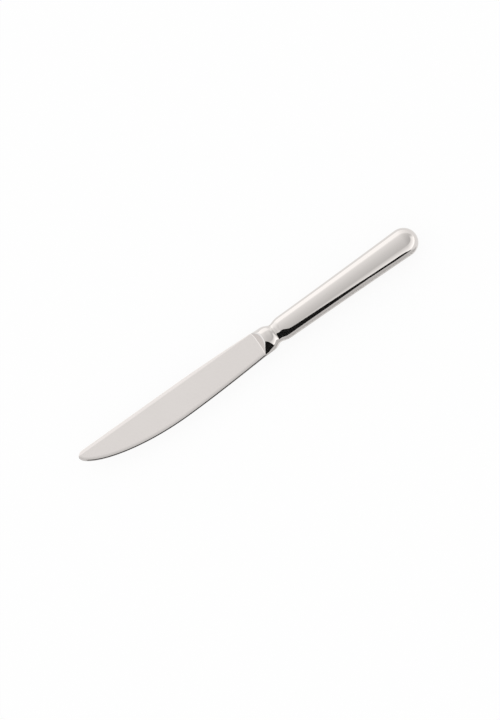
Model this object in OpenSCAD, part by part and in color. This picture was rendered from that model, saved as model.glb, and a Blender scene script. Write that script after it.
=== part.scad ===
// Salad knife with a hollow handle.
// A forged blade carries its own bolster and tang. The handle is two pressed half shells,
// brazed together along the blade's plane and brazed to the bolster at the neck.
// The tang is bedded in cement inside the handle.
// Lengths run along X from the tip to the end of the handle, +Y is the spine and +Z is up.

/* [Blade] */
// Length of the blade from its tip to its heel
blade_length = 110.6; // [95:0.1:130]
// Height of the spine above the handle's axis, along the front of the blade
spine_height = 9.3; // [8:0.1:12]
// How far the spine drops on its way to the heel
spine_drop = 1.5; // [0:0.1:2.5]
// Length of the spine that drops
spine_drop_length = 47; // [30:1:60]
// Depth of the cutting edge below the handle's axis at its lowest point
belly_depth = 9.8; // [8.5:0.1:13]
// Distance of that lowest point from the tip
belly_distance = 58; // [45:1:70]
// How far the cutting edge rises from its lowest point to the heel
heel_rise = 2.5; // [0:0.1:3]
// Height of the tip point above the handle's axis
tip_height = 6.1; // [4:0.1:7]
// Length of the round corner between the tip point and the spine
tip_round = 3.6; // [2:0.1:6]
// Thickness of the spine at the heel
spine_heel_t = 2.3; // [1.8:0.1:3]
// Thickness of the spine at the tip
spine_tip_t = 1.7; // [1.4:0.1:2.2]
// Thickness of the blade at the heel, on the side of its cutting edge
edge_heel_t = 1.3; // [1.2:0.1:1.7]
// Width of the band ground along the spine
spine_band_w = 2; // [1:0.1:3]
// Tilt of that band in degrees
spine_band_tilt = 12; // [5:1:20]
// Width of the ground bevel along the cutting edge
bevel_w = 0.35; // [0.2:0.05:0.45]
// Tilt of that bevel in degrees
bevel_tilt = 40; // [20:1:44]
// Length ahead of the heel over which the bevel fades out
bevel_fade = 13; // [5:1:20]

/* [Bolster and tang] */
// Length of the bolster from the heel to the neck
bolster_length = 10; // [8:0.1:14]
// Thickness of the bolster across the flats above and below it, on which the knife lies
bolster_t = 11.3; // [11:0.1:12]
// Thickness at which the bolster's sloped flanks would meet if it had no flats
ridge_t = 13.8; // [13:0.1:15]
// Roundness of those flanks: 2 makes an oval, 1 makes them straight
flank_roundness = 1.35; // [1.25:0.05:1.6]
// Length over which the flanks rise from the neck
ridge_swell = 3.4; // [2.5:0.1:4]
// Slope of the shoulder that rises from the blade, in degrees
shoulder_angle = 56; // [48:1:62]
// Length over which the bolster widens from the neck
bolster_swell = 2.75; // [1.5:0.05:3.5]
// Length of the tang inside the handle
tang_length = 48; // [30:1:60]
// Width of the tang at the bolster
tang_w = 6; // [4:0.1:7]
// Width of the tang at its end
tang_end_w = 4; // [2.5:0.1:5]
// Thickness of the tang
tang_t = 2.6; // [1.5:0.1:4]

/* [Handle] */
// Length of the handle from the neck to its round end
handle_length = 89.4; // [80:0.1:110]
// Width of the handle where its round end starts
handle_w = 15.9; // [15:0.1:20]
// Thickness of the handle there
handle_t = 13.2; // [12:0.1:16]
// Width of the handle behind the neck
handle_front_w = 13.4; // [12.6:0.1:15]
// Width of the narrow neck between bolster and handle
neck_w = 11.1; // [10.5:0.1:12.5]
// Length over which the handle swells from the neck
handle_swell = 2.9; // [2:0.1:5]
// Length of the round end
cap_length = 7.9; // [5:0.1:10]
// Wall of the pressed shells at the seam
wall = 0.9; // [0.6:0.05:1.3]
// Thickness of the brazed seam between the two shells
seam_t = 0.2; // [0.1:0.05:0.4]
// Thickness of the brazed ring at the neck
ring_t = 0.25; // [0.1:0.05:0.5]
// Length of the handle that is filled with cement
fill_length = 64; // [62:1:74]
// Clearance around the cement
cement_gap = 0.05; // [0.02:0.01:0.2]

/* [Hidden] */
$fn = 96;

// Stations along the knife, measured from the tip
heel_x = blade_length;
joint_x = heel_x + bolster_length;
overall_length = joint_x + handle_length;

// Place of the handle's axis in the part's frame, which stands on its box's bottom centre
axis_y = (belly_depth - spine_height) / 2;
axis_z = handle_t / 2;

// Outline of the blade
outline_steps = 40;
tip_steps = 8;
edge_roundness = 1.55;
drop_power = 1.6;
heel_spine = spine_height - spine_drop;
heel_edge = belly_depth - heel_rise;

// The blade's flat sides
side_slope_x = (spine_heel_t - spine_tip_t) / 2 / blade_length;
side_slope_y = (spine_heel_t - edge_heel_t) / 2 / (heel_spine + heel_edge);
side_turn = [atan(side_slope_y), -atan(side_slope_x), 0];
cutter = 2 * overall_length;
plate_t = 2 * spine_heel_t;
bevel_reach = bevel_w / 2;
bevel_lead = 0.3;

// The bolster
ring_steps = 20;
ring_points = 40;
root_depth = 0.6 * bolster_length;
root_share = 0.75;
wedge_start = heel_x - edge_heel_t / 2 / tan(shoulder_angle);
wedge_end = wedge_start + bolster_t / 2 / tan(shoulder_angle);

// The handle
body_steps = 30;
cap_steps = 14;
body_power = 1.4;
neck_crowding = 1.8;
cap_start = handle_length - cap_length;
section_ratio = (handle_t - seam_t) / handle_w;
neck_t = neck_w * section_ratio + seam_t;

// A rise from 0 to 1 that starts slowly
function swell(part) = pow(max(0, min(1, part)), drop_power);

// Height of the spine and of the cutting edge at a distance from the tip
function spine_y(x) = spine_height - spine_drop * swell(1 - (heel_x - x) / spine_drop_length);
function belly_y(x) =
    let (ahead = (belly_distance - x) / belly_distance)
    tip_height - (tip_height + belly_depth) * pow(1 - pow(ahead, 2), 1 / edge_roundness);
function edge_y(x) =
    x < belly_distance
    ? belly_y(x)
    : -belly_depth + heel_rise * swell((x - belly_distance) / (heel_x - belly_distance));

// Stations that crowd together towards the tip
function edge_station(i) = heel_x * (1 - cos(90 * i / outline_steps));

// Points along the cutting edge from tip to heel, and along the spine from heel to tip
edge_points = [for (i = [0:outline_steps]) let (x = edge_station(i)) [x, edge_y(x)]];
spine_points = [for (i = [0:outline_steps])
    let (x = heel_x + (tip_round - heel_x) * i / outline_steps) [x, spine_y(x)]];
tip_points = [for (i = [1:tip_steps - 1]) let (a = 90 * i / tip_steps)
    [tip_round * (1 - sin(a)), tip_height + (spine_height - tip_height) * cos(a)]];
root_points = [
    [heel_x + root_depth, -root_share * heel_edge],
    [heel_x + root_depth, root_share * heel_spine]
];

// Half the blade's thickness at a point of its side
function side_z(p) =
    spine_heel_t / 2 + side_slope_x * (p[0] - heel_x) + side_slope_y * (p[1] - heel_spine);

// Half widths of the bolster above and below the axis and half its thickness, by distance from the neck
function dip(d, length) = exp(-pow(d / length, 2));
function bolster_half(d, heel_half) =
    handle_front_w / 2 + (heel_half - handle_front_w / 2) * d / bolster_length
    - (handle_front_w - neck_w) / 2 * dip(d, bolster_swell);
function ridge_half(d) = ridge_t / 2 - (ridge_t - neck_t) / 2 * dip(d, ridge_swell);

// The bolster's section turns from an oval at the neck to sloped flanks behind the shoulder
function flank_power(d) = 2 / (2 - (2 - flank_roundness) * (1 - dip(d, ridge_swell)));
function signed_power(value, power) = sign(value) * pow(abs(value), power);

// Half the width of the handle, less a wall, at a distance from the neck
function handle_half(u, inset) =
    handle_front_w / 2 + (handle_w - handle_front_w) / 2 * pow(u / cap_start, body_power)
    - (handle_front_w - neck_w) / 2 * exp(-pow(u / handle_swell, 2)) - inset;

// Outline of half the handle from one distance to another, as radius and length, less a wall,
// with its points closer together at the neck
function body_profile(from, to, inset) = [for (i = [0:body_steps])
    let (u = from + (to - from) * pow(i / body_steps, neck_crowding)) [handle_half(u, inset), u]];
function cap_profile(inset) = [for (i = [1:cap_steps]) let (a = 90 * i / cap_steps)
    [(handle_w / 2 - inset) * cos(a), cap_start + (cap_length - inset) * sin(a)]];
function whole_profile(inset) = concat(body_profile(ring_t, cap_start, inset), cap_profile(inset));
function reversed(points) = [for (i = [len(points) - 1:-1:0]) points[i]];

function both_sides(points) = concat(
    [for (p = points) [p[1], p[0]]],
    [for (i = [len(points) - 2:-1:0]) [points[i][1], -points[i][0]]]);

// Half of the shell's wall, cut along the handle
wall_profile = concat(whole_profile(0), reversed(whole_profile(wall)));

// Rings of points joined into one closed solid, each ring counter-clockwise as seen from the last one
module loft(rings) {
    count = len(rings[0]);
    last = len(rings) - 1;
    sides = [for (r = [0:last - 1], i = [0:count - 1])
        let (a = r * count + i, b = r * count + (i + 1) % count)
        each [[a, a + count, b], [b, a + count, b + count]]];
    front = [[for (i = [0:count - 1]) i]];
    back = [[for (i = [count - 1:-1:0]) last * count + i]];
    polyhedron(points = [for (ring = rings) each ring], faces = concat(sides, front, back));
}

// Moves a shape from the tip and the handle's axis to the part's frame
module placed() {
    translate([-overall_length / 2, axis_y, axis_z]) children();
}

// Turns an upright revolved shape so that it lies along the handle from the neck, pressed to its thickness
module along_handle() {
    translate([joint_x, 0, 0]) scale([1, 1, section_ratio]) rotate([90, 0, 90]) children();
}

// Everything above one flat side of the blade
module above_side() {
    translate([heel_x, heel_spine, spine_heel_t / 2]) rotate(side_turn)
        translate([-cutter / 2, -cutter / 2, 0]) cube(cutter);
}

// Everything above the band that is ground along the spine
module above_spine_band() {
    start_y = spine_height - spine_band_w;
    translate([0, start_y, side_z([0, start_y])]) rotate(side_turn - [spine_band_tilt, 0, 0])
        translate([-cutter / 2, -cutter / 2, 0]) cube(cutter);
}

// A wedge along the cutting edge that grinds its bevel and leaves the edge ahead of the heel
module above_bevel() {
    loft([for (i = [1:outline_steps])
        let (
            p = edge_points[i],
            q = edge_points[i - 1],
            away = [p[1] - q[1], q[0] - p[0]] / norm(p - q),
            width = bevel_w * min(1, (heel_x - p[0]) / bevel_fade - bevel_lead),
            start = p - away * (width + bevel_reach),
            end = p + away * bevel_reach,
            top = side_z(p) + bevel_reach * tan(bevel_tilt)
        )
        [
            [start[0], start[1], top],
            [end[0], end[1], top],
            [end[0], end[1], top - (width + 2 * bevel_reach) * tan(bevel_tilt)]
        ]]);
}

module plate() {
    difference() {
        linear_extrude(plate_t, center = true)
            polygon(concat(edge_points, root_points, spine_points, tip_points));
        for (side = [0, 1]) mirror([0, 0, side]) {
            above_side();
            above_spine_band();
            above_bevel();
        }
    }
}

module bolster() {
    intersection() {
        loft([for (r = [0:ring_steps])
            let (
                x = heel_x + (joint_x - heel_x) * r / ring_steps,
                d = joint_x - x,
                power = flank_power(d)
            )
            [for (i = [0:ring_points - 1])
                let (
                    a = 360 * (i + 0.5) / ring_points,
                    half_w = bolster_half(d, cos(a) < 0 ? heel_edge : heel_spine)
                )
                [x, half_w * signed_power(cos(a), power), ridge_half(d) * signed_power(sin(a), power)]]]);
        rotate([90, 0, 0]) linear_extrude(cutter, center = true)
            polygon([
                [wedge_start, 0],
                [wedge_end, -bolster_t / 2],
                [joint_x + bolster_length, -bolster_t / 2],
                [joint_x + bolster_length, bolster_t / 2],
                [wedge_end, bolster_t / 2]
            ]);
    }
}

module tang(clearance) {
    linear_extrude(tang_t + 2 * clearance, center = true)
        polygon([
            [heel_x + root_depth / 2, -tang_w / 2 - clearance],
            [joint_x + tang_length + clearance, -tang_end_w / 2 - clearance],
            [joint_x + tang_length + clearance, tang_end_w / 2 + clearance],
            [heel_x + root_depth / 2, tang_w / 2 + clearance]
        ]);
}

module blade() {
    color("gainsboro") placed() {
        plate();
        bolster();
        tang(0);
    }
}

module shell() {
    translate([0, 0, seam_t / 2]) along_handle()
        rotate_extrude(angle = 180) polygon(wall_profile);
}

module upper_handle_shell() {
    color("silver") placed() shell();
}

module lower_handle_shell() {
    color("lightgray") placed() mirror([0, 0, 1]) shell();
}

module seam_braze() {
    color("darkgoldenrod") placed()
        translate([joint_x, 0, 0]) linear_extrude(seam_t, center = true)
            polygon(concat(both_sides(whole_profile(0)), reversed(both_sides(whole_profile(wall)))));
}

module neck_braze() {
    color("goldenrod") placed()
        translate([joint_x, 0, 0]) rotate([90, 0, 90]) linear_extrude(ring_t)
            difference() {
                scale([neck_w, neck_t]) circle(d = 1);
                scale([neck_w - 2 * wall, neck_t - 2 * wall * section_ratio]) circle(d = 1);
            }
}

module handle_cement() {
    color("tan") placed() difference() {
        for (side = [0, 1]) mirror([0, 0, side]) along_handle() rotate_extrude(angle = 180)
            polygon(concat([[0, 0]], body_profile(0, fill_length, wall + cement_gap), [[0, fill_length]]));
        tang(cement_gap);
    }
}

blade();
upper_handle_shell();
lower_handle_shell();
seam_braze();
neck_braze();
handle_cement();
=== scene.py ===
import bpy
import bmesh
import math
from mathutils import Matrix, Vector


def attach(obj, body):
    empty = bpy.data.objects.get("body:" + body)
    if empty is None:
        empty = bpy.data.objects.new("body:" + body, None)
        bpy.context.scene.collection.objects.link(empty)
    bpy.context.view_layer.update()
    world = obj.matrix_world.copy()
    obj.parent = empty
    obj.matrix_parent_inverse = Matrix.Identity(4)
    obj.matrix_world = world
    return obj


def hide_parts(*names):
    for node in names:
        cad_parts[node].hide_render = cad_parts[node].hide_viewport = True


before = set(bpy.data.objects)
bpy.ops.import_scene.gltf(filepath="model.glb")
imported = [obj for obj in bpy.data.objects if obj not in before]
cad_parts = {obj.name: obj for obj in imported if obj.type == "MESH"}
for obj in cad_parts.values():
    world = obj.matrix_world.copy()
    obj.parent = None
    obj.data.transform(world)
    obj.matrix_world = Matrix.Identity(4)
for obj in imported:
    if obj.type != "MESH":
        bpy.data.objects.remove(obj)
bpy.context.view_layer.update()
scene = bpy.context.scene
scene.view_settings.view_transform = "Standard"
print("frame loaded:", ", ".join(sorted(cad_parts)))

# the knife is drawn in millimetres from its tip, with the handle's axis as zero height
knife = {"length": 210.0, "axisSide": 0.25, "axisHeight": 6.6}


def place(x, y, z):
    return Vector((x - knife["length"] / 2, y + knife["axisSide"], z + knife["axisHeight"])) / 1000


def drawn(point):
    # from a placed point back to millimetres on the knife
    return (point.x * 1000 + knife["length"] / 2, point.y * 1000 - knife["axisSide"],
            point.z * 1000 - knife["axisHeight"])


def unit(value):
    # held between 0 and 1
    return max(0.0, min(1.0, value))


def between(a, b, part):
    return tuple(p + (q - p) * part for p, q in zip(a, b))


def halving(low, high, holds):
    # the value between low and high where a test stops holding
    for _ in range(50):
        mid = (low + high) / 2
        if holds(mid):
            low = mid
        else:
            high = mid
    return low


class Wire:
    # one socket in a node tree: sums on it add Math nodes
    def __init__(self, tree, socket=None):
        self.tree = tree
        self.socket = socket

    def add(self, kind, settings=None, sockets=None, out=0):
        made = self.tree.nodes.new(kind)
        for name, value in (settings or {}).items():
            if name == "stops":
                ramp = made.color_ramp
                while len(ramp.elements) < len(value):
                    ramp.elements.new(0.5)
                for stop, (where, colour) in zip(ramp.elements, value):
                    stop.position = where
                    stop.color = (*colour, 1)
            else:
                setattr(made, name, value)
        for name, value in (sockets or {}).items():
            if isinstance(value, Wire):
                self.tree.links.new(value.socket, made.inputs[name])
            else:
                made.inputs[name].default_value = value
        return Wire(self.tree, made.outputs[out] if made.outputs else None)

    def sum(self, operation, *values):
        return self.add("ShaderNodeMath", {"operation": operation}, dict(enumerate(values)))

    def __add__(self, other):
        return self.sum("ADD", self, other)

    def __radd__(self, other):
        return self.sum("ADD", other, self)

    def __sub__(self, other):
        return self.sum("SUBTRACT", self, other)

    def __rsub__(self, other):
        return self.sum("SUBTRACT", other, self)

    def __mul__(self, other):
        return self.sum("MULTIPLY", self, other)

    def __rmul__(self, other):
        return self.sum("MULTIPLY", other, self)

    def smooth(self, value, start, end):
        # 0 at the start, 1 at the end, eased in between
        return self.add("ShaderNodeMapRange", {"interpolation_type": "SMOOTHSTEP"}, {
            "Value": value, "From Min": start, "From Max": end})

    def blend(self, one, other):
        # mixes two colours by this value; the first can come from another mix
        first = one if isinstance(one, Wire) else (*one, 1)
        colours = {0: self, 6: first, 7: (*other, 1)}
        return self.add("ShaderNodeMix", {"data_type": "RGBA"}, colours, out=2)


def newMaterial(name):
    material = bpy.data.materials.new(name)
    material.use_nodes = True
    material.node_tree.nodes.clear()
    return material, Wire(material.node_tree)


def surface(board, shader):
    board.add("ShaderNodeOutputMaterial", {}, {"Surface": shader})


def noise(board, scale, detail, stretch=(1, 1, 1)):
    # noise in the knife's own metres, which can be drawn out along some of its axes
    coords = board.add("ShaderNodeTexCoord", out=3)
    stretched = board.add("ShaderNodeVectorMath", {"operation": "MULTIPLY"}, {0: coords, 1: stretch})
    return board.add("ShaderNodeTexNoise", {}, {"Vector": stretched, "Scale": scale, "Detail": detail})


bladeFinish = {
    "colour": (0.752, 0.714, 0.692), "shade": (0.726, 0.688, 0.664), "cloudScale": 55,
    # painted shade: the colour darkens over the last millimetres before the cutting edge
    "edgeShade": (0.470, 0.446, 0.432), "edgeShadeWidth": 2.3, "edgeShadeFade": 0.6, "edgeShadeEase": 1.2,
    "roughness": 0.15, "roughnessSpread": 0.05,
    "lineScale": 260, "lineStretch": (14, 0.5, 1), "lineStrength": 0.25, "lineDepth": 0.000004,
}


def bladeSteel():
    # glazed steel: fine grinding lines across the blade, slightly cloudy, and painted shade that darkens
    # the colour towards the cutting edge
    f = bladeFinish
    material, board = newMaterial("glazed blade steel")
    lines = noise(board, f["lineScale"], 3, f["lineStretch"])
    clouds = noise(board, f["cloudScale"], 2)
    bump = board.add("ShaderNodeBump", {}, {
        "Strength": f["lineStrength"], "Distance": f["lineDepth"], "Height": lines})
    # painted shade towards the cutting edge, by how near each point is to it
    edgeShading = board.add("ShaderNodeAttribute", {"attribute_name": "edgeNear"}, out=2)
    surface(board, board.add("ShaderNodeBsdfPrincipled", {}, {
        "Base Color": edgeShading.blend(clouds.blend(f["shade"], f["colour"]), f["edgeShade"]),
        "Metallic": 1.0,
        "Roughness": f["roughness"] + f["roughnessSpread"] * (lines - 0.5),
        "Normal": bump,
    }))
    return material


handleFinish = {
    "colour": (0.706, 0.672, 0.648), "shade": (0.684, 0.650, 0.625), "hazeScale": 38,
    # painted shade: a darker colour on the bolster's shoulder face
    "shoulder": (0.597, 0.581, 0.575), "shoulderFade": 0.6,
    "roughness": 0.035, "roughnessSpread": 0.02, "hairScale": 420, "hairStretch": (0.35, 6, 6),
}


def mirrorSteel():
    # mirror polish with a breath of handling haze and hairlines, and painted shade that darkens the
    # colour on the bolster's shoulder
    f = handleFinish
    material, board = newMaterial("mirror polished steel")
    haze = noise(board, f["hazeScale"], 3)
    hairlines = noise(board, f["hairScale"], 2, f["hairStretch"])
    # painted shade on the bolster's shoulder face
    shoulder = board.add("ShaderNodeAttribute", {"attribute_name": "shoulderNear"}, out=2)
    surface(board, board.add("ShaderNodeBsdfPrincipled", {}, {
        "Base Color": shoulder.blend(haze.blend(f["shade"], f["colour"]), f["shoulder"]),
        "Metallic": 1.0,
        "Roughness": f["roughness"] + f["roughnessSpread"] * (haze * hairlines),
    }))
    return material


brazeFinish = {
    "colour": (0.69, 0.66, 0.62), "shade": (0.64, 0.62, 0.58), "spotScale": 900,
    "roughness": 0.12, "roughnessSpread": 0.1,
}


def brazeMetal():
    f = brazeFinish
    material, board = newMaterial("polished braze")
    spots = noise(board, f["spotScale"], 3)
    surface(board, board.add("ShaderNodeBsdfPrincipled", {}, {
        "Base Color": spots.blend(f["shade"], f["colour"]),
        "Metallic": 1.0,
        "Roughness": f["roughness"] + f["roughnessSpread"] * spots,
    }))
    return material


cementFinish = {
    "colour": (0.70, 0.66, 0.60), "shade": (0.48, 0.44, 0.39), "roughness": 0.8, "roughnessSpread": 0.15,
    "grainScale": 700, "grainStrength": 0.6, "grainDepth": 0.0002,
}


def cementGrain():
    f = cementFinish
    material, board = newMaterial("handle cement")
    grains = noise(board, f["grainScale"], 6)
    bump = board.add("ShaderNodeBump", {}, {
        "Strength": f["grainStrength"], "Distance": f["grainDepth"], "Height": grains})
    surface(board, board.add("ShaderNodeBsdfPrincipled", {}, {
        "Base Color": grains.blend(f["shade"], f["colour"]),
        "Roughness": f["roughness"] + f["roughnessSpread"] * grains,
        "Normal": bump,
    }))
    return material


def meshObject(name, mesh, materials):
    data = bpy.data.meshes.new(name)
    mesh.to_mesh(data)
    mesh.free()
    for material in materials:
        data.materials.append(material)
    made = bpy.data.objects.new(name, data)
    scene.collection.objects.link(made)
    return made


def gridObject(name, rows, materials, sharpEdge=None, finishOf=None, capped=True):
    # closed rows of points skinned with quads; the end rows get a face each, or meet each other
    mesh = bmesh.new()
    made = [[mesh.verts.new(place(*p)) for p in row] for row in rows]
    count = len(rows[0])
    spans = range(len(rows) - 1 if capped else len(rows))
    for r in spans:
        for i in range(count):
            j, after = (i + 1) % count, (r + 1) % len(rows)
            face = mesh.faces.new((made[r][i], made[r][j], made[after][j], made[after][i]))
            face.material_index = finishOf(r) if finishOf else 0
    if capped:
        mesh.faces.new(list(reversed(made[0])))
        mesh.faces.new(made[-1])
    if sharpEdge:
        for r in spans:
            for i in range(count):
                if sharpEdge(r, i):
                    mesh.edges.get((made[r][i], made[(r + 1) % len(rows)][i])).smooth = False
    for face in mesh.faces:
        face.smooth = True
    bmesh.ops.remove_doubles(mesh, verts=mesh.verts, dist=2e-7)
    bmesh.ops.dissolve_degenerate(mesh, edges=mesh.edges, dist=1e-7)
    bmesh.ops.recalc_face_normals(mesh, faces=mesh.faces)
    return meshObject(name, mesh, materials)


bladeShape = {
    "length": 110.6, "spine": 9.3, "spineDrop": 1.5, "dropLength": 47.0, "dropEase": 1.6,
    "belly": 9.8, "bellyAt": 58.0, "heelRise": 2.5, "tip": 6.1, "tipRound": 3.6, "roundness": 1.55,
    "spineHeelThick": 2.3, "spineTipThick": 1.7, "edgeHeelThick": 1.3,
    "bandFrom": 7.3, "bandTilt": 12.0, "cornerRound": 0.14,
    "bevel": 0.45, "bevelTilt": 35.0, "bevelFade": 0.7, "bevelEnd": 0.05,
    "edgeRound": 0.08, "roundFrom": 1.6, "roundFade": 12.0, "roundEase": 2.5,
    "heelRun": 1.2, "rows": 110, "across": 32, "crowding": 1.4,
}
bolsterShape = {
    "length": 10.0, "thick": 11.3, "slope": 59.0, "swell": 2.9, "neckWidth": 11.1, "neckThick": 9.275,
    "flank": 1.35, "ovalTo": 2.6, "ridgeFrom": 8.6, "ridge": 13.7, "crownSwell": 1.3, "crownCrisp": 14,
    "scoop": 3.6, "width": 14.2, "flare": 0.3, "heelRound": 0.5, "rimRound": 0.9,
    "wallJoin": 0.3, "wallBend": 0.7, "heelSteps": 6, "rimSteps": 8, "rows": 40,
}
tangShape = {
    # the fan shares out a ring's points as they lie round the heel
    "length": 48.0, "wide": 6.0, "narrow": 4.0, "thick": 2.6, "squareness": 0.25, "fan": (7.5, 1.2),
}
heelSpine = bladeShape["spine"] - bladeShape["spineDrop"]
heelEdge = bladeShape["belly"] - bladeShape["heelRise"]
slopeX = (bladeShape["spineHeelThick"] - bladeShape["spineTipThick"]) / 2 / bladeShape["length"]
slopeY = (bladeShape["spineHeelThick"] - bladeShape["edgeHeelThick"]) / 2 / (heelSpine + heelEdge)
shoulderRun = 1 / math.tan(math.radians(bolsterShape["slope"]))
shoulderFrom = bladeShape["length"] - bladeShape["edgeHeelThick"] / 2 * shoulderRun
neckAt = bladeShape["length"] + bolsterShape["length"]
# points of a blade row before the lower line of the spine band, and on the cutting edge's wall
spinePoints, edgePoints = 8, 3
# smallest step between neighbouring lines of points
leastGap = 0.02


def swellUp(part):
    return unit(part) ** bladeShape["dropEase"]


def spineAt(x):
    b = bladeShape
    if x < b["tipRound"]:
        back = 1 - x / b["tipRound"]
        return b["tip"] + (b["spine"] - b["tip"]) * math.sqrt(max(0.0, 1 - back * back))
    return b["spine"] - b["spineDrop"] * swellUp(1 - (b["length"] - x) / b["dropLength"])


def edgeAt(x):
    b = bladeShape
    if x < b["bellyAt"]:
        ahead = 1 - x / b["bellyAt"]
        return b["tip"] - (b["tip"] + b["belly"]) * max(0.0, 1 - ahead * ahead) ** (1 / b["roundness"])
    return -b["belly"] + b["heelRise"] * swellUp((x - b["bellyAt"]) / (b["length"] - b["bellyAt"]))


def sideHeight(x, y):
    # half the blade's thickness, thinner above the line where the spine band starts
    b = bladeShape
    flat = b["spineHeelThick"] / 2 + slopeX * (x - b["length"])
    height = flat + slopeY * (min(y, b["bandFrom"]) - heelSpine)
    if y > b["bandFrom"]:
        height -= (y - b["bandFrom"]) * math.tan(math.radians(b["bandTilt"]) - math.atan(slopeY))
    return height


def outlineNormal(curve, x, inward):
    # unit vector across the outline at x, into the blade
    step = min(0.01, 0.25 * x + 1e-5)
    slope = (curve(x + step) - curve(max(0.0, x - step))) / (step + min(step, x))
    size = math.hypot(slope, 1)
    return (-slope / size * inward, 1 / size * inward)


def bladeRow(x):
    # half a section from the middle of the spine to the middle of the cutting edge
    b = bladeShape
    r = b["cornerRound"]
    top, bottom = spineAt(x), edgeAt(x)
    nx, ny = outlineNormal(spineAt, x, -1)
    ex, ey = outlineNormal(edgeAt, x, 1)
    bevel = b["bevel"] * unit((b["length"] - x) / b["bevelFade"] - b["bevelEnd"])
    inTop = (x + nx * r, top + ny * r)
    inEdge = (x + ex * bevel, bottom + ey * bevel)
    topHeight = sideHeight(*inTop)
    fall = b["edgeRound"] * unit((b["length"] - x) / b["roundFade"])
    edgeHeight = sideHeight(*inEdge) - fall - bevel * math.tan(math.radians(b["bevelTilt"]))
    row = [(x, top, 0.0), (x, top, (topHeight - r) * 0.6), (x, top, topHeight - r)]
    for a in (22.5, 45, 67.5):
        s, c = math.sin(math.radians(a)), math.cos(math.radians(a))
        row.append((x + nx * r * (1 - c), top + ny * r * (1 - c), topHeight - r * (1 - s)))
    row.append((*inTop, topHeight))
    bandTo = (inTop[0], max(min(b["bandFrom"], inTop[1] - leastGap), inEdge[1] + leastGap))
    bandMiddle = (inTop[1] + bandTo[1]) / 2
    row.append((inTop[0], bandMiddle, sideHeight(inTop[0], bandMiddle)))
    for i in range(b["across"] + 1):
        # closer points towards the cutting edge, where the side rounds off
        px, py = between(bandTo, inEdge, 1 - (1 - i / b["across"]) ** b["crowding"])
        near = max(0.0, 1 - math.dist((px, py), inEdge) / b["roundFrom"])
        row.append((px, py, sideHeight(px, py) - fall * near ** b["roundEase"]))
    return row + [(x, bottom, edgeHeight), (x, bottom, edgeHeight * 0.5), (x, bottom, 0.0)]


def bolsterPoint(d, angle):
    # a point of the bolster at a distance from the neck, angle 0 at the spine and 180 at the edge
    s = bolsterShape
    dip = math.exp(-(d / s["swell"]) ** 2)
    turned = unit((d - s["ovalTo"]) / (s["ridgeFrom"] - s["ovalTo"]))
    turned = turned * turned * (3 - 2 * turned)
    c, v = math.cos(math.radians(angle)), max(0.0, math.sin(math.radians(angle)))
    heelHalf = heelSpine if c > 0 else heelEdge
    half = s["width"] / 2 + (heelHalf + s["flare"] - s["width"] / 2) * d / s["length"]
    half -= (s["width"] - s["neckWidth"]) / 2 * dip
    power = 2 - (2 - s["flank"]) * turned
    land = s["thick"] / 2 - (s["thick"] - s["neckThick"]) / 2 * math.exp(-(d / s["crownSwell"]) ** 2)
    tall = land + (s["ridge"] - s["thick"]) / 2 * turned
    y = math.copysign(half * abs(c) ** (2 / power), c)
    z = tall * v ** (2 / power)
    cut = z * (1 + (z / land) ** s["crownCrisp"]) ** (-1 / s["crownCrisp"])
    return (neckAt - d, y, z + (cut - z) * turned)


def shoulderAt(y, z):
    # the shoulder is a straight slope in the middle and stands steeper towards both sides
    side = min(1.0, abs(y) / (heelSpine if y > 0 else heelEdge))
    return shoulderFrom + z * shoulderRun * (1 - side ** bolsterShape["scoop"])


def rimDistance(angle):
    # distance from the neck at which the shoulder cuts the bolster
    def behind(d):
        x, y, z = bolsterPoint(d, angle)
        return x > shoulderAt(y, z)
    return halving(0.0, neckAt - shoulderFrom, behind)


def angleForRim(y):
    return halving(0.0, 180.0, lambda angle: bolsterPoint(rimDistance(angle), angle)[1] > y)


def angleForHeight(d, height, nearSpine):
    angle = halving(0.0, 90.0, lambda tried: bolsterPoint(d, tried)[2] < height)
    return angle if nearSpine else 180 - angle


def backFrom(corner, other, reach):
    # a point on the way to the other one, never more than nearly halfway
    return between(corner, other, min(0.45, reach / max(math.dist(corner, other), 1e-9)))


def softBend(start, corner, end, steps):
    parts = [i / steps for i in range(steps + 1)]
    return [between(between(start, corner, t), between(corner, end, t), t) for t in parts]


def markEdgeShade(made):
    # how close each point is to the cutting edge, for the painted shade along it
    f = bladeFinish
    near = made.data.attributes.new("edgeNear", "FLOAT", "POINT")
    for vertex, mark in zip(made.data.vertices, near.data):
        x, y, _ = drawn(vertex.co)
        ahead = unit((bladeShape["length"] - x) / f["edgeShadeFade"])
        x = max(0.0, min(bladeShape["length"], x))
        off = (y - edgeAt(x)) * outlineNormal(edgeAt, x, 1)[1]
        mark.value = ahead * max(0.0, 1 - off / f["edgeShadeWidth"]) ** f["edgeShadeEase"]


def markShoulderShade(made):
    # how close each point is to the bolster's shoulder, for the painted shade on it
    near = made.data.attributes.new("shoulderNear", "FLOAT", "POINT")
    for vertex, mark in zip(made.data.vertices, near.data):
        x, y, z = drawn(vertex.co)
        mark.value = max(0.0, 1 - abs(x - shoulderAt(y, abs(z))) / handleFinish["shoulderFade"])


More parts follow.
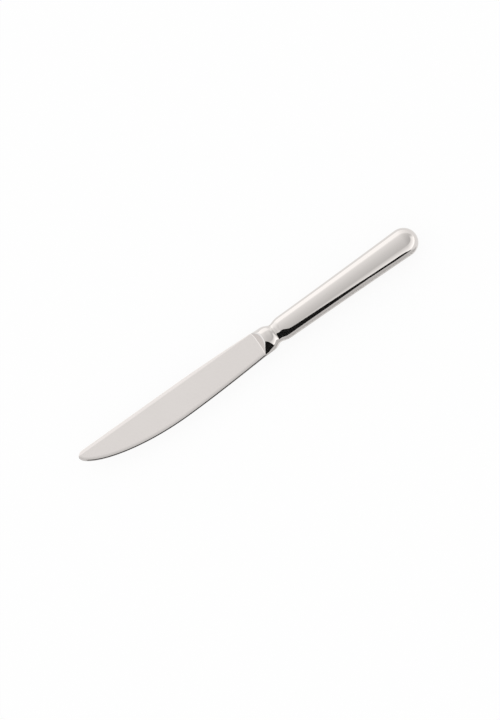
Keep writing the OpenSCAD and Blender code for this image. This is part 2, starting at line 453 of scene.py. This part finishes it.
def bolsterColumn(start, end, onWall):
    # a line of points from the blade's last row over heel, shoulder and rim to the neck
    b, s = bladeShape, bolsterShape
    _, y, z = end
    angle = angleForRim(y)
    d = rimDistance(angle)
    rim = bolsterPoint(d, angle)
    if onWall or rim[2] < z + leastGap:
        # walls and corners run straight on into the bolster's flanks
        d = s["length"] - s["wallJoin"]
        angle = angleForHeight(d, z, y > 0)
        rim = bolsterPoint(d, angle)
        heel = between(start, rim, s["wallBend"])
    else:
        foot = sideHeight(b["length"], rim[1])
        heel = (shoulderAt(rim[1], foot), rim[1], foot)
    intoHeel, outOfHeel = backFrom(heel, start, s["heelRound"]), backFrom(heel, rim, s["heelRound"])
    heelBend = softBend(intoHeel, heel, outOfHeel, s["heelSteps"])
    flankFrom = d - s["rimRound"]
    intoRim, outOfRim = backFrom(rim, heel, s["rimRound"]), bolsterPoint(flankFrom, angle)
    rimBend = softBend(intoRim, rim, outOfRim, s["rimSteps"])
    column = [between(start, heelBend[0], p) for p in (0.4, 0.8)] + heelBend
    column += [between(heelBend[-1], rimBend[0], p) for p in (0.25, 0.5, 0.75)] + rimBend
    for k in range(1, s["rows"] + 1):
        column.append(bolsterPoint(flankFrom * (1 - k / s["rows"]), angle))
    return column


def tangRing(x, wide, around):
    # a squared ring with as many points as a blade row
    t = tangShape
    ring = []
    for _, y, z in around:
        a = math.atan2(z / t["fan"][1], y / t["fan"][0])
        c, v = math.cos(a), math.sin(a)
        ring.append((x, math.copysign(wide / 2 * abs(c) ** t["squareness"], c),
                     t["thick"] / 2 * abs(v) ** t["squareness"]))
    return ring


def bladePiece(glazed, polished):
    b = bladeShape
    bladeEnd = b["length"] - b["heelRun"]
    turns = [math.pi / 2 * i / b["rows"] for i in range(b["rows"] + 1)]
    rows = [bladeRow(bladeEnd * (1 - math.cos(turn))) for turn in turns]
    heelRow = b["rows"]
    last = bladeRow(b["length"])
    columns = [bolsterColumn(start, end, i < spinePoints or i >= len(last) - edgePoints)
               for i, (start, end) in enumerate(zip(rows[heelRow], last))]
    rows += [list(row) for row in zip(*columns)]
    rows.append(tangRing(neckAt, tangShape["wide"], rows[heelRow]))
    rows.append(tangRing(neckAt + tangShape["length"], tangShape["narrow"], rows[heelRow]))
    full = [row + [(x, y, -z) for x, y, z in reversed(row[1:-1])] for row in rows]
    band, bevel, around = spinePoints, spinePoints + b["across"], len(full[0])
    ridges = {band, bevel, around - band, around - bevel}
    made = gridObject("bladeWithBolster", full, [glazed, polished],
                      lambda r, i: r < heelRow and i in ridges,
                      lambda r: 1 if r > heelRow + bolsterShape["heelSteps"] else 0)
    markEdgeShade(made)
    markShoulderShade(made)
    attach(made, "root")
    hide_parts("blade")


handleShape = {
    "length": 89.4, "width": 15.9, "thick": 13.2, "frontWidth": 13.4, "neckWidth": 11.1, "taper": 1.4,
    "swell": 2.9, "cap": 7.9, "capBlend": 9.0, "wall": 0.9, "seam": 0.2, "ring": 0.25,
    "stations": 150, "crowding": 1.5, "capSteps": 40, "turns": 64,
}
sectionRatio = (handleShape["thick"] - handleShape["seam"]) / handleShape["width"]
capFrom = handleShape["length"] - handleShape["cap"]


def handleProfile(inset):
    # half widths along the handle from the neck ring to the round end
    h = handleShape
    growth = h["width"] - h["frontWidth"]
    endSlope = h["taper"] * growth / 2 / capFrom
    points = []
    for i in range(h["stations"] + 1):
        u = h["ring"] + (capFrom - h["ring"]) * (i / h["stations"]) ** h["crowding"]
        wider = growth / 2 * (u / capFrom) ** h["taper"]
        # the sides flatten towards the cap
        near = max(0.0, u - (capFrom - h["capBlend"])) / h["capBlend"]
        wider += endSlope * h["capBlend"] * (near ** 2 * (1 - near) * 0.5)
        waist = (h["frontWidth"] - h["neckWidth"]) / 2 * math.exp(-(u / h["swell"]) ** 2)
        points.append((u, h["frontWidth"] / 2 + wider - waist - inset))
    for i in range(1, h["capSteps"] + 1):
        a = math.pi / 2 * i / h["capSteps"]
        points.append((capFrom + (h["cap"] - inset) * math.sin(a),
                       (h["width"] / 2 - inset) * math.cos(a)))
    return points


def shellPiece(name, node, up, material):
    # half of the handle: the wall's outline swept half a turn and pressed flat
    h = handleShape
    outline = handleProfile(0) + list(reversed(handleProfile(h["wall"])))
    rows = []
    for i in range(h["turns"] + 1):
        a = math.pi * i / h["turns"]
        rows.append([(neckAt + u, r * math.cos(a), up * (h["seam"] / 2 + sectionRatio * r * math.sin(a)))
                     for u, r in outline])
    made = gridObject(name, rows, [material])
    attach(made, "root")
    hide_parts(node)


def seamPiece(material):
    # the brazed strip between the two shells, round the handle's end
    h = handleShape
    t = h["seam"] / 2
    outer, inner = (side + [(u, -r) for u, r in reversed(side[:-1])]
                    for side in (handleProfile(0), handleProfile(h["wall"])))
    rows = [[(neckAt + u, r, t), (neckAt + v, q, t), (neckAt + v, q, -t), (neckAt + u, r, -t)]
            for (u, r), (v, q) in zip(outer, inner)]
    made = gridObject("seamLine", rows, [material])
    for edge in made.data.edges:
        edge.use_edge_sharp = True
    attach(made, "root")
    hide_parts("seam_braze")


def neckRing(material):
    # the brazed ring at the waist, flush with bolster and handle
    h = handleShape
    front, behind = h["neckWidth"] / 2, handleProfile(0)[0][1]
    section = [(0.0, front), (h["ring"], behind),
               (h["ring"], behind - h["wall"]), (0.0, front - h["wall"])]
    around = 2 * h["turns"]
    rows = []
    for i in range(around):
        a = 2 * math.pi * i / around
        c, v = math.cos(a), math.sin(a)
        lift = math.copysign(h["seam"] / 2, v) if abs(v) > 1e-9 else 0.0
        rows.append([(neckAt + u, r * c, sectionRatio * r * v + lift) for u, r in section])
    made = gridObject("neckRing", rows, [material], lambda r, i: True, capped=False)
    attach(made, "root")
    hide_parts("neck_braze")


bladeMaterial, handleMaterial = bladeSteel(), mirrorSteel()
bladePiece(bladeMaterial, handleMaterial)
print("blade and bolster built")
shellPiece("upperShell", "upper_handle_shell", 1, handleMaterial)
shellPiece("lowerShell", "lower_handle_shell", -1, handleMaterial)
brazeMaterial = brazeMetal()
seamPiece(brazeMaterial)
neckRing(brazeMaterial)
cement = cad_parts["handle_cement"].data
cement.materials.clear()
cement.materials.append(cementGrain())
print("handle built")

floorLook = {"size": 6.0, "segments": 8, "colour": (0.94, 0.94, 0.94), "glow": 0.88}


def studioFloor():
    # pale sweep, lifted towards white where it is seen, so the shadow stays soft
    f = floorLook
    material, board = newMaterial("pale floor")
    path = board.add("ShaderNodeLightPath")
    camera, glossy, through = (Wire(board.tree, path.socket.node.outputs[name])
                               for name in ("Is Camera Ray", "Is Glossy Ray", "Is Transmission Ray"))
    seen = camera.sum("MAXIMUM", camera, glossy.sum("MAXIMUM", glossy, through))
    matte = board.add("ShaderNodeBsdfDiffuse", {}, {"Color": (*f["colour"], 1)})
    glow = board.add("ShaderNodeEmission", {}, {"Color": (1, 1, 1, 1), "Strength": 1.0})
    surface(board, board.add("ShaderNodeMixShader", {}, {0: seen * f["glow"], 1: matte, 2: glow}))
    mesh = bmesh.new()
    bmesh.ops.create_grid(mesh, x_segments=f["segments"], y_segments=f["segments"], size=f["size"])
    made = meshObject("studioFloor", mesh, [material])


studio = {
    # light overhead by degrees from straight up, from the white sweep behind to the front
    "ceiling": [(-90, 1.42), (-56, 1.42), (-48, 1.18), (-42, 1.05), (-25, 0.97), (0, 0.85), (20, 0.78),
                (46, 0.69), (90, 0.69)],
    "rightFade": 0.33,
    # white walls in front and beside, brightest at the floor, by degrees of height
    "wall": 1.38, "wallFade": 0.0125, "wallEven": 6.0, "wallTop": (45.0, 52.0), "wallFrom": (-0.35, 0.1),
    "rightLift": 0.42, "rightDrop": 20.0, "leftRaise": 45.0, "leftFrom": (0.15, 0.4),
}


def studioWorld():
    world = bpy.data.worlds.new("soft studio")
    world.use_nodes = True
    world.node_tree.nodes.clear()
    scene.world = world
    board = Wire(world.node_tree)
    # levels are worked out at half their size, so that a ramp's colours stay under 1
    halved = 0.5
    coords = board.add("ShaderNodeTexCoord")
    parts = board.add("ShaderNodeSeparateXYZ", {}, {0: coords}).socket.node.outputs
    along, across, upward = (Wire(board.tree, socket) for socket in parts)
    turn = across.sum("ARCTAN2", 0 - across, upward)
    ceiling = board.add("ShaderNodeValToRGB", {
        "stops": [((a + 90) / 180, (v * halved,) * 3) for a, v in studio["ceiling"]]},
        {0: turn * (1 / math.pi) + 0.5})
    left = along.sum("MINIMUM", along, 0.0)
    right = along - left
    rise = upward.sum("ARCSINE", upward) * (180 / math.pi) + studio["leftRaise"] * left
    rise = rise + studio["rightDrop"] * (right * right)
    level = across.sum("SQRT", along * along + across * across)
    # 1 straight to the front and -1 to the back, safe straight up
    front = across.sum("DIVIDE", 0 - across, level + 0.0001)
    low = board.smooth(rise, *reversed(studio["wallTop"]))
    beside = front.sum("MAXIMUM", board.smooth(front, *studio["wallFrom"]),
                       board.smooth(0 - along, *studio["leftFrom"]))
    dome = ceiling * (1 - studio["rightFade"] * right)
    wall = studio["wall"] - studio["wallFade"] * rise.sum("MAXIMUM", rise, studio["wallEven"])
    wall = wall * halved * (1 + studio["rightLift"] * right)
    light = dome + (wall - dome) * (low * beside)
    shine = board.add("ShaderNodeBackground", {}, {0: light, 1: 1 / halved})
    board.add("ShaderNodeOutputWorld", {}, {"Surface": shine})


flags = {
    # black card upright in front of the knife, its outline in millimetres along the knife and up
    "away": 500.0, "black": 0.012,
    "outline": [(130, 0), (130, 40), (123, 78), (116, 103), (95, 160), (74, 250), (54, 345), (40, 428),
                (35, 480), (30, 550), (17, 691), (-30, 967), (-185, 1355), (-510, 1660), (-790, 1490),
                (-900, 1250), (-900, 0)],
    # the same card's foot on the floor, along the knife and towards it, and a strip before the handle
    "foot": [(-900, -500), (128, -500), (128, -270), (51, -85), (-900, -85)],
    "strip": [(78, -165), (128, -280), (128, -120), (112, -80), (100, -54), (90, -47), (79, -90)],
    # grey card that lies along the handle's front, under the strip: painted shadow, standing in for the
    # floor's shade beside the handle as the polish mirrors it
    "floorShadowCard": [(-2, -120), (108, -120), (108, -10), (-2, -10)], "grey": 0.70,
    "height": 0.4, "greyHeight": 0.3,
}


def cardObject(name, corners, tone):
    # gives the polished sides something to mirror: only reflections see it
    material, board = newMaterial(name)
    surface(board, board.add("ShaderNodeBsdfDiffuse", {}, {"Color": (tone, tone, tone, 1)}))
    mesh = bmesh.new()
    mesh.faces.new([mesh.verts.new(Vector(corner) / 1000) for corner in corners])
    mesh.normal_update()
    bmesh.ops.triangulate(mesh, faces=mesh.faces)
    made = meshObject(name, mesh, [material])
    made.visible_camera = False
    made.visible_diffuse = False
    made.visible_shadow = False


def blackAndGreyCards():
    f = flags
    cardObject("blackCard", [(x, -f["away"], z) for x, z in f["outline"]], f["black"])
    cardObject("blackCardFoot", [(x, y, f["height"]) for x, y in f["foot"]], f["black"])
    cardObject("blackStrip", [(x, y, f["height"]) for x, y in f["strip"]], f["black"])
    # painted shadow: a grey card on the floor beside the handle, seen only in reflections
    cardObject("floorShadowCard", [(x, y, f["greyHeight"]) for x, y in f["floorShadowCard"]], f["grey"])


# the camera looks so that a point of the knife falls on a pixel of the picture
shot = {
    "lens": 100.0, "sensor": 36.0, "distance": 1.038, "elevation": 65.0, "roll": 35.349,
    "point": (0.0162, 0.00025, 0.0066), "pixel": (276.064, 332.885), "middle": (250, 360),
    "metresPerPixel": 0.000519,
}


def photoCamera():
    c = shot
    e, w = math.radians(c["elevation"]), math.radians(c["roll"])
    back = Vector((0, -math.cos(e), math.sin(e)))
    side, rise = Vector((1, 0, 0)), Vector((0, math.sin(e), math.cos(e)))
    right = side * math.cos(w) - rise * math.sin(w)
    up = side * math.sin(w) + rise * math.cos(w)
    target = Vector(c["point"]) - right * (c["pixel"][0] - c["middle"][0]) * c["metresPerPixel"]
    target -= up * (c["middle"][1] - c["pixel"][1]) * c["metresPerPixel"]
    data = bpy.data.cameras.new("photoCamera")
    data.lens = c["lens"]
    data.sensor_width = c["sensor"]
    camera = bpy.data.objects.new("photoCamera", data)
    scene.collection.objects.link(camera)
    turn = Matrix((right, up, back)).transposed().to_4x4()
    camera.matrix_world = Matrix.Translation(target + back * c["distance"]) @ turn
    scene.camera = camera


studioFloor()
studioWorld()
blackAndGreyCards()
photoCamera()
print("studio and camera set")
